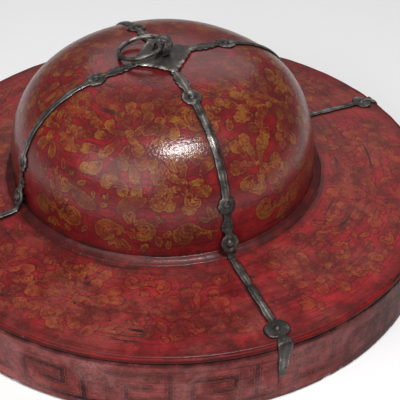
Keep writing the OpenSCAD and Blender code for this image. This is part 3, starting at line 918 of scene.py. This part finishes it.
def crown_strap(name, angle):
    """Strap from the apex plate over the dome to a tongue that stands on the crown's foot."""
    rng = Rng(int(angle) + 3)
    first = s_at_r(7)
    curve, toe = np.arange(first, s_at_z(74), STEP), 6.4
    end = unit(TONGUE_BEND - TONGUE_TOP)
    lift = np.array([-end[1], end[0]]) * (STRAP_T + 0.1)
    base = crown_frame(radians(angle), curve, 0.06)[0] - CROWN_C
    flat = np.stack([np.hypot(base[:, 0], base[:, 1]), base[:, 2]], -1)
    tongue = [TONGUE_TOP + lift, TONGUE_MID + lift, TONGUE_MID + lift + end * toe]
    path = relaxed(resample(np.concatenate([flat, tongue]), STEP), 5)
    s, *strip = meridian_strip(path, angle)
    last = s[-1]
    foot, upper = last - toe, s_at_r(UPPER_ROSETTE_R) - first
    lower = s_at_z(LOWER_ROSETTE_Z) - first
    leaf_mid, petal_mid = lower * 0.45 + foot * 0.55, upper / 2 + 4.5
    rosettes = ((upper, 7.0, 0.03), (lower, 6.3, 0.06), (foot, 6.5, 0.015))
    beat = [rng(0, 6) for _ in range(4)]

    def half(t):
        w = 2.75 + 0.22 * np.sin(t / 3.1 + beat[0]) + 0.16 * np.sin(t / 1.4 + beat[1])
        near_top = np.exp(-((t - petal_mid) / 6.5) ** 4)
        w = np.maximum(w, 2.6 + near_top * (1.6 + 0.5 * np.cos((t - petal_mid) * pi / 2.6)))
        w = np.where(t < 12, 4.2, w)
        w = np.maximum(w, 4.6 * np.exp(-((t - leaf_mid) / 4.8) ** 4)
                       + 0.5 * np.sin(t * 1.9) * np.exp(-((t - leaf_mid) / 5.0) ** 4))
        for at, radius, lobed in rosettes:
            scallop = radius * (1 + lobed * np.cos(8 * np.arctan2(disc(t, at, radius), t - at)))
            w = np.maximum(w, np.where(np.abs(t - at) < radius, disc(t, at, scallop), 0))
        fade_in = np.minimum(1, (last - t) / 0.5 + 0.3)
        return np.maximum(w * np.where(t > last - 0.4, fade_in, 1), 0.6)

    def height(t, x):
        h = np.ones_like(t * x)
        for at, radius, _ in rosettes:
            h = np.where(np.hypot(t - at, x) < radius, dish(t, x, at, radius), h)
        pits = np.exp(-((t - leaf_mid - 2.2) ** 2 + (np.abs(x) - 1.6) ** 2) / 0.7)
        pits += np.exp(-((t - leaf_mid + 2.4) ** 2 + x**2) / 0.8)
        forged = 0.08 * np.sin(t / 2.3 + beat[2]) * np.sin(x / 1.7 + beat[3])
        return np.maximum(h + forged - 0.55 * pits, 0.3)

    return ribbon(name, *strip, half, height, lambda t: np.full_like(t, 1 / 115.0))


def brim_strap(name, angle):
    """Strap from under the tongue over the brim, with a trefoil, and a tab bent over the rim."""
    rng = Rng(int(angle) + 41)
    reach = rim_reach(radians(angle))
    step_out = FOOT_BEAD_EDGE + 1.5
    path = [TONGUE_TOP, TONGUE_BEND,
            (FOOT_BEAD_EDGE, brim_z(FOOT_BEAD_EDGE + RIM_R - reach) + 0.1),
            (step_out, brim_z(step_out + RIM_R - reach) + 0.45),
            (reach - 20, brim_z(RIM_R - 20) + 0.45), (reach - 3.5, RIM_Z + 0.35),
            (reach - 0.6, RIM_Z - 0.1), (reach + 0.35, RIM_Z - 2.25),
            (reach + 0.35, TAB_END - 0.6)]
    path = relaxed(resample(path, STEP), 5)
    s, centre, normal, side = meridian_strip(path, angle)
    on_brim = np.argmax(path[:, 0] > reach - 1)
    trefoil = float(np.interp(reach - TREFOIL_IN, path[:on_brim, 0], s[:on_brim]))
    last, edge = s[-1], s[-1] - (RIM_Z - TAB_END)
    drift = smooth(s, edge - 4, last) * rng(-1.6, 0.4)
    beat = [rng(0, 6) for _ in range(4)]

    def half(t):
        w = 2.6 + 0.22 * np.sin(t / 3.4 + beat[0]) + 0.14 * np.sin(t / 1.6 + beat[1])
        lobes = np.where(np.abs(t - trefoil) < 6.2, 3.4 + 0.85 * disc(t, trefoil, 6.2), 0)
        w = np.maximum(w, lobes)
        neck = 3.2 + 2.3 * smooth(t, edge - 6, edge)
        w = np.maximum(w, np.where((t > trefoil + 5) & (t < edge), neck, 0))
        down = np.clip((t - edge) / (last - edge), 0, 1)
        w = np.where(t >= edge, 5.5 - 2.9 * down**0.8 + 0.25 * np.sin(t / 2 + beat[2]), w)
        return np.where(t > last - 1.2, w * 0.75, w)

    def height(t, x):
        h = 1.0 + 0.08 * np.sin(t / 2.6 + beat[2]) * np.sin(x / 1.5 + beat[3])
        hollow = np.exp(-(((t - edge - 8) / 9) ** 2) - ((x - 0.8) / 1.5) ** 2)
        lobe_dish = 0.3 * np.exp(-((t - trefoil) ** 2 + (np.abs(x) - 4.8) ** 2) / 5)
        return np.maximum(h - 0.55 * hollow - lobe_dish, 0.3)

    return ribbon(name, centre + side * drift[:, None], normal, side, half, height,
                  lambda t: np.where(t > edge, 1 / 380.0, 0.0))


def rivet(at, normal, top, depth, head_r, head_h, rng):
    """Vertices and wear of one hand-set rivet, with its shank and clenched tail."""
    normal = unit(normal)
    u = unit(np.cross(normal, [0.3, 0.2, 0.9]))
    v = np.cross(normal, u)
    a = circle(RIVET_FACETS)
    phase, wob = rng(0, 6), rng(0.02, 0.06)
    round_ = 1 + wob * np.sin(3 * a + phase) + 0.5 * wob * np.sin(5 * a)
    head = [(0.05 / head_r, 1), (0.35, 0.95), (0.66, 0.72), (0.88, 0.4), (1, 0.1)]
    profile = [(head_r * r, top + head_h * z) for r, z in head]
    profile += [(head_r * 0.97, top - 0.1), (1.3, top - 0.1), (1.3, -depth), (2.2, -depth),
                (2.1, -depth - 0.5), (1.2, -depth - 0.7), (0.05, -depth - 0.7)]
    verts = [at + u * (r * round_ * np.cos(a))[:, None] + v * (r * round_ * np.sin(a))[:, None]
             + normal * z for r, z in profile]
    return np.concatenate(verts), np.repeat([1, 0.5, 0.2, 0.1, 0.1] + [0.0] * 7, RIVET_FACETS)


def rivets(name, spots, head_r, head_h, seed):
    """spots is a list of (point, normal, height of the head's seat, depth of the tail)."""
    rng, verts, faces, wear, rows = Rng(seed), [], [], [], 12
    for k, (at, normal, top, depth) in enumerate(spots):
        v, w = rivet(at, normal, top, depth, head_r * rng(0.94, 1.05), head_h, rng)
        verts.append(v)
        faces += capped_faces(rows, RIVET_FACETS, k * rows * RIVET_FACETS)
        wear.append(w)
    return mesh_object(name, np.concatenate(verts), faces, RIVET_IRON,
                       {"wear": np.concatenate(wear)})


def meridian_spot(angle, r, z, tilt):
    """Point at angle and r from the crown's axis, and a normal tilted up from the horizontal."""
    ca, sa = cos(radians(angle)), sin(radians(angle))
    return (CROWN_C + np.array([r * ca, r * sa, z]),
            np.array([cos(tilt) * ca, cos(tilt) * sa, sin(tilt)]))


def strap_rivets():
    """The five sets of rivets, each with the node that it replaces and its slot."""
    upper, lower, foot, trefoils, nails = [], [], [], [], []
    lean = atan2(TONGUE_BEND[0] - TONGUE_TOP[0], TONGUE_TOP[1] - TONGUE_BEND[1])
    steep = pi / 2 - atan2(BRIM_RISE, BRIM_R - CROWN_R)
    for angle in STRAPS.values():
        a = radians(angle)
        reach = rim_reach(a)
        upper.append((*crown_frame(a, s_at_r(UPPER_ROSETTE_R))[:2], 1.1, 5.25))
        lower.append((*crown_frame(a, s_at_z(LOWER_ROSETTE_Z))[:2], 1.1, 5.25))
        foot.append((*meridian_spot(angle, *TONGUE_MID, lean), 2.5, 8.6))
        trefoils.append((*meridian_spot(angle, reach - TREFOIL_IN, brim_z(RIM_R - TREFOIL_IN),
                                        steep), 1.55, 4.9))
        nails.append((*meridian_spot(angle, reach + 0.3, TAB_END + 5, 0), 1.1, 5.4))
    return [(rivets(name, *head), node, "rivet_iron") for name, node, *head in (
        ("upper_rivets", "upper_rosette_rivets", upper, 2.9, 1.5, 2),
        ("lower_rivets", "lower_rosette_rivets", lower, 2.7, 1.4, 3),
        ("foot_rivets", "crown_foot_rivets", foot, 3.0, 1.7, 4),
        ("trefoil_rivet_heads", "trefoil_rivets", trefoils, 2.5, 1.3, 5),
        ("tab_nail_heads", "tab_nails", nails, 1.7, 0.6, 6))]


# ---- apex fitting
def apex_plate():
    """Four-cornered plate with slightly hollow sides, hammered thin at its edge."""
    cols, rings = 240, 16
    a = circle(cols)
    straps = np.radians(list(STRAPS.values()) + [360.0])
    out = np.zeros(cols)
    for lo, hi in zip(straps[:-1], straps[1:]):
        inside = (a >= lo) & (a < hi)
        s = np.abs((a[inside] - (lo + hi) / 2) / ((hi - lo) / 2))
        out[inside] = 16.5 + 7.1 * s**2.2 + 0.6 * np.sin(7.5 * pi * s) * s
    out = out * (1 + 0.012 * np.sin(17 * a) + 0.01 * np.sin(31 * a + 1))
    out = np.convolve(np.concatenate([out[-2:], out, out[:2]]), [0.1, 0.2, 0.4, 0.2, 0.1], "valid")
    t = np.append(np.linspace(0.02, 0.95, rings - 2), [0.985, 1.0])[:, None]
    x, y = out * t * np.cos(a), out * t * np.sin(a)
    thick = 1.15 - 0.75 * smooth(t, 0.93, 1.0) + 0.1 * np.sin(x / 2.7 + 1) * np.sin(y / 3.1)
    top = np.stack([x, y, PLATE_Z + thick], -1)
    low = np.stack([x, y, np.full_like(x, PLATE_Z)], -1)[::-1][::5]
    wear = np.append(np.repeat(smooth(t[:, 0], 0.86, 0.97), cols), np.zeros(len(low) * cols))
    return mesh_object("apex_plate_forged", np.concatenate([top, low]).reshape(-1, 3) + CROWN_C,
                       capped_faces(rings + len(low), cols), IRON, {"wear": wear})


def swept(name, path, normal, side, section, wear, closed=False):
    """section(k) gives the (side, normal) points of the cross-section at point k."""
    loops = np.stack([
        p + np.outer(sec[:, 0], s) + np.outer(sec[:, 1], n)
        for p, n, s, sec in zip(path, normal, side, map(section, range(len(path))))])
    n, k = loops.shape[:2]
    faces = grid_faces(n, k, wrap_rows=True) if closed else capped_faces(n, k)
    return mesh_object(name, loops.reshape(-1, 3), faces, RING_IRON, {"wear": wear})


EYE_AXIS = np.array([cos(radians(50)), sin(radians(50)), 0.0])
EYE_OUT = np.array([cos(radians(140)), sin(radians(140)), 0.0])
UP = np.array([0.0, 0.0, 1.0])


def ring_eye():
    """Iron band rolled round the ring, its legs through the crown and clenched inside."""
    mean, w, t = 5.9, 3.95, 0.7
    turn = np.radians(np.linspace(-78, 258, 60))
    loop = np.stack([mean * np.cos(turn), mean * np.sin(turn)], -1)
    low = 136.9 - EYE_Z + 0.7
    leg = [(8.6, low), (1.9, low), (0.72, low + 1.2), (0.72, -7.2)]
    path = np.concatenate([leg, loop, [(-x, z) for x, z in leg[::-1]]])
    path = relaxed(resample(path, 0.8), 3)
    d = unit(np.gradient(path, axis=0))
    centre = CROWN_C + UP * EYE_Z + path[:, :1] * EYE_OUT + path[:, 1:] * UP
    normal = d[:, 1:] * EYE_OUT - d[:, :1] * UP
    side = np.repeat(EYE_AXIS[None], len(path), 0)
    corners = np.array([(-1, -0.5), (-1, 0.5), (-0.9, 1), (-0.5, 1.05), (0, 1.12), (0.5, 1.05),
                        (0.9, 1), (1, 0.5), (1, -0.5), (0.9, -1), (0, -1), (-0.9, -1)]) * (w, t)
    edge = np.array([1, 1, 0.9, 0.45, 0.35, 0.45, 0.9, 1, 1, 0.3, 0.1, 0.3])
    high = np.clip(0.35 + path[:, 1] / 12, 0, 1)
    return swept("rolled_eye", centre, normal, side, lambda k: corners,
                 (high[:, None] * edge).reshape(-1))


def hanging_ring():
    """Forged ring, a little uneven, rubbed bright on its upper side."""
    count, mean, wire = 120, 15.5, 1.62
    slope = radians(13)
    away = EYE_OUT * cos(slope) - UP * sin(slope)
    lift = EYE_OUT * sin(slope) + UP * cos(slope)
    a, b = circle(count), circle(14)
    radial = np.outer(np.cos(a), away) + np.outer(np.sin(a), EYE_AXIS)
    mid = CROWN_C + UP * EYE_Z + away * mean
    centre = mid + radial * (mean + 0.1 * np.sin(3 * a + 1))[:, None]

    def section(k):
        weld = 0.08 * np.exp(-((a[k] - 1.9) / 0.05) ** 2)
        r = wire * (1 - 0.05 * (1 + sin(5 * a[k] + 2)) / 2 - weld)
        return np.stack([r * np.cos(b), r * np.sin(b)], -1)

    return swept("forged_ring", centre, np.repeat(lift[None], count, 0), radial, section,
                 np.tile(0.25 + 0.75 * smooth(np.sin(b), 0.1, 0.9), count), closed=True)


# ---- inside fittings
def seam_share(a, count):
    """0 on each of count even seams round a turn, and 1 halfway between them."""
    return np.abs(np.mod(a * count / (2 * pi) + 0.5, 1) - 0.5) * 2


def crown_lining():
    """Cloth lining of eight gores, puckered a little at the hoop."""
    inset, bottom = 8.6, 56.6
    cols, rows = 384, 64
    a = circle(cols)
    s = np.linspace(0.6, s_at_z(bottom), rows)
    r, z = np.interp(s, MER_S, MER_R), np.interp(s, MER_S, MER_Z)
    r = r * (CROWN_R - inset) / CROWN_R
    z = np.where(z > SHOULDER_Z, SHOULDER_Z + (z - SHOULDER_Z) * (DOME_H - inset) / DOME_H, z)
    low = smooth(s, s[-1] - 45, s[-1])[:, None]
    tuck = 0.5 * np.exp(-(seam_share(a, 8) / 0.06) ** 2) * smooth(s, 8, 30)[:, None]
    pucker = 0.32 * low * np.sin(64 * a + 0.5 * np.sin(9 * a))
    r = r[:, None] - tuck + pucker - 0.2
    grid = np.stack([r * np.cos(a), r * np.sin(a), z[:, None] - 0.3 * tuck], -1)
    return mesh_object("lining_gores", grid.reshape(-1, 3) + CROWN_C,
                       grid_faces(rows, cols) + [list(range(cols))], LINING)


def headband_pad():
    """Stuffed band in quilted channels; the seams between the channels pull in."""
    cols, around, channels = 448, 28, 28
    a, t = circle(cols), circle(around)
    half_w, half_h = (PAD_OUT - PAD_IN) / 2 - 0.35, PAD_H / 2 - 0.4
    seam = seam_share(a, channels)
    full = 0.42 + 0.58 * (1 - (1 - np.clip(seam, 0, 1)) ** 2.6)[:, None]
    across, along = np.cos(t), np.sin(t)
    x = half_w * (np.sign(across) * np.abs(across) ** 0.8) * full
    z = half_h * (np.sign(along) * np.abs(along) ** 0.55) * (0.955 + 0.045 * full)
    r = (PAD_IN + PAD_OUT) / 2 + x + 0.15 * np.sin(11 * a)[:, None]
    grid = np.stack([r * np.cos(a)[:, None], r * np.sin(a)[:, None], PAD_Z + PAD_H / 2 + z], -1)
    obj = mesh_object("headband_channels", grid.reshape(-1, 3) + CROWN_C,
                      grid_faces(cols, around, wrap_rows=True), PAD_CLOTH)
    hold = np.nonzero(np.repeat(seam < 0.12, around))[0]
    obj.vertex_groups.new(name="seams").add(hold.tolist(), 1.0, "REPLACE")
    return obj


def stuff(obj, group, pressure, limit):
    """Cloth simulation of the filling: seams stay, and nothing moves further than limit in mm."""
    frames = 16

    def points(mesh):
        flat = np.empty(len(mesh.vertices) * 3)
        mesh.vertices.foreach_get("co", flat)
        return flat.reshape(-1, 3)

    rest = points(obj.data)
    mod = obj.modifiers.new("filling", "CLOTH")
    cloth_set = mod.settings
    cloth_set.quality, cloth_set.mass = 6, 0.15
    cloth_set.use_pressure, cloth_set.uniform_pressure_force = True, pressure
    cloth_set.effector_weights.gravity = 0
    cloth_set.vertex_group_mass = group
    cloth_set.tension_stiffness = cloth_set.compression_stiffness = 12
    cloth_set.bending_stiffness = 0.4
    mod.point_cache.frame_start, mod.point_cache.frame_end = 1, frames
    scene = bpy.context.scene
    for number in range(1, frames + 1):
        scene.frame_set(number)
    step = points(obj.evaluated_get(bpy.context.evaluated_depsgraph_get()).data) - rest
    obj.modifiers.remove(mod)
    scene.frame_set(1)
    size = np.linalg.norm(step, axis=1, keepdims=True)
    step *= np.minimum(1, limit * MM / np.maximum(size, 1e-9))
    obj.data.vertices.foreach_set("co", (rest + step).reshape(-1))
    obj.data.update()


def sweatband():
    """Leather strip with rolled edges and a groove along each for the stitches."""
    lo, hi, r0, t = 52.7, 80.3, 90.1, 1.0
    ring = [(r0 + t, lo + 0.4), (r0 + t * 0.5, lo), (r0, lo + 0.5), (r0, lo + 1.9),
            (r0 + 0.18, lo + 2.3), (r0, lo + 2.7), (r0 - 0.05, lo + 9), (r0, lo + 16),
            (r0, hi - 2.7), (r0 + 0.18, hi - 2.3), (r0, hi - 1.9), (r0, hi - 0.5),
            (r0 + t * 0.5, hi), (r0 + t, hi - 0.4)]

    def shift(grid, a):
        grid[..., 2] += 0.12 * np.sin(14 * a) * np.sin(3 * a + 1)
        return grid

    return turned_ring("sweatband_leather", ring, 480, SWEAT_LEATHER, shift)


def stitches(name, z):
    """Running stitches round the inside of the sweatband, each a short bowed thread."""
    radius, spacing, length, thick, points, facets = 90.1, 5.0, 3.4, 0.32, 5, 6
    count = int(2 * pi * radius / spacing)
    verts, faces = [], []
    for k in range(count):
        for u in np.linspace(-0.5, 0.5, points):
            angle = 2 * pi * k / count + u * length / radius
            out = radius + 0.12 - 0.3 * cos(pi * u)
            fat = thick * (0.55 + 0.45 * cos(pi * u))
            verts += [((out + fat * cos(q)) * cos(angle), (out + fat * cos(q)) * sin(angle),
                       z + fat * sin(q)) for q in circle(facets)]
        faces += capped_faces(points, facets, k * points * facets)
    return mesh_object(name, np.array(verts) + CROWN_C, faces, PAD_CLOTH)


def fitting_hoop():
    lo, hi, cut = 50.6, 55.9, 0.7
    r_in, r_out = PAD_OUT + 0.3, CROWN_R - CROWN_T - 0.1
    ring = [(r_in, lo + cut), (r_in + cut, lo), (r_out - cut, lo), (r_out, lo + cut),
            (r_out, hi - cut), (r_out - cut, hi), (r_in + cut, hi), (r_in, hi - cut)]

    def shift(grid, a):
        grid[..., 2] += 0.12 * np.sin(6 * a) + 0.06 * np.sin(17 * a)
        return grid

    return turned_ring("cane_hoop", ring, 360, CANE, shift)


# ---- build, ride and replace
def place_piece(piece, node, slot, body="hat"):
    """Say what a piece rides on and which node it stands for, if any; slot, where its finish is,
    is not used.
    """
    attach(piece, body)
    if node is not None:
        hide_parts(node)
    return piece


made = [
    (crown_shell(), "crown_shell", "crown_lacquer"),
    (brim(), "brim_plate", "brim_lacquer"),
    (rim_wall(), "rim_wall", "rim_lacquer"),
    (rim_bead(), "rim_edge_bead", "bead_lacquer"),
    (foot_bead(), "crown_foot_bead", "bead_lacquer"),
    (apex_plate(), "apex_plate", "forged_iron"),
    (ring_eye(), "ring_eye", "ring_iron"),
    (fitting_hoop(), "fitting_hoop", "cane"),
    *strap_rivets(),
]
for where, angle in STRAPS.items():
    made.append((crown_strap(f"crown_band_{where}", angle), f"crown_strap_{where}", "forged_iron"))
    made.append((brim_strap(f"brim_band_{where}", angle), f"brim_strap_{where}", "forged_iron"))
for row in made:
    place_piece(*row)

place_piece(hanging_ring(), "hanging_ring", "ring_iron", "ring")
lining = place_piece(crown_lining(), "crown_lining", "lining_cloth")
pad = headband_pad()
stuff(pad, "seams", pressure=2.5, limit=0.5)
place_piece(pad, "headband_pad", "pad_cloth")
place_piece(sweatband(), "sweatband", "sweat_leather")
for name, z in (("stitches_low", 55.0), ("stitches_high", 78.0)):
    place_piece(stitches(name, z), None, "pad_cloth")

for node in ("eye_washer", "crown_rivet_washers", "brim_rivet_washers"):
    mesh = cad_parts[node].data
    mesh.materials.clear()
    mesh.materials.append(HIDDEN_IRON)


# ---- floor and light
def studio():
    m = Shader("floor_paper", Roughness=0.85)
    m.set(Base_Color=m.mix(m.span(m.noise(2, 2), 0.3, 0.7), (0.91, 0.91, 0.91),
                           (0.94, 0.94, 0.94)))
    size, low = 3.0, -0.0005
    mesh = bpy.data.meshes.new("floor")
    mesh.from_pydata([(-size, -size, low), (size, -size, low), (size, size, low),
                      (-size, size, low)], [], [(0, 1, 2, 3)])
    floor = bpy.data.objects.new("floor", mesh)
    bpy.context.collection.objects.link(floor)
    mesh.materials.append(m.material)

    world = bpy.data.worlds.new("studio")
    bpy.context.scene.world = world
    world.use_nodes = True
    background = world.node_tree.nodes["Background"].inputs
    background["Color"].default_value = (1, 1, 1, 1)
    background["Strength"].default_value = 0.12
    bpy.context.scene.view_settings.view_transform = "Standard"

    for name, at, sides, power in (("key", (-0.04, -0.58, 1.45), (0.36, 0.26), 17),
                                   ("back", (0.80, 1.30, 1.1), (1.4, 0.6), 3.5),
                                   ("left", (-1.6, -0.9, 1.3), (2.2, 1.4), 25)):
        light = bpy.data.lights.new(name, "AREA")
        light.shape, light.energy = "RECTANGLE", power
        light.size, light.size_y = sides
        obj = bpy.data.objects.new(name, light)
        obj.location = at
        aim = Vector((0, 0, 0.08)) - Vector(at)
        obj.rotation_euler = aim.to_track_quat("-Z", "Y").to_euler()
        bpy.context.collection.objects.link(obj)


studio()
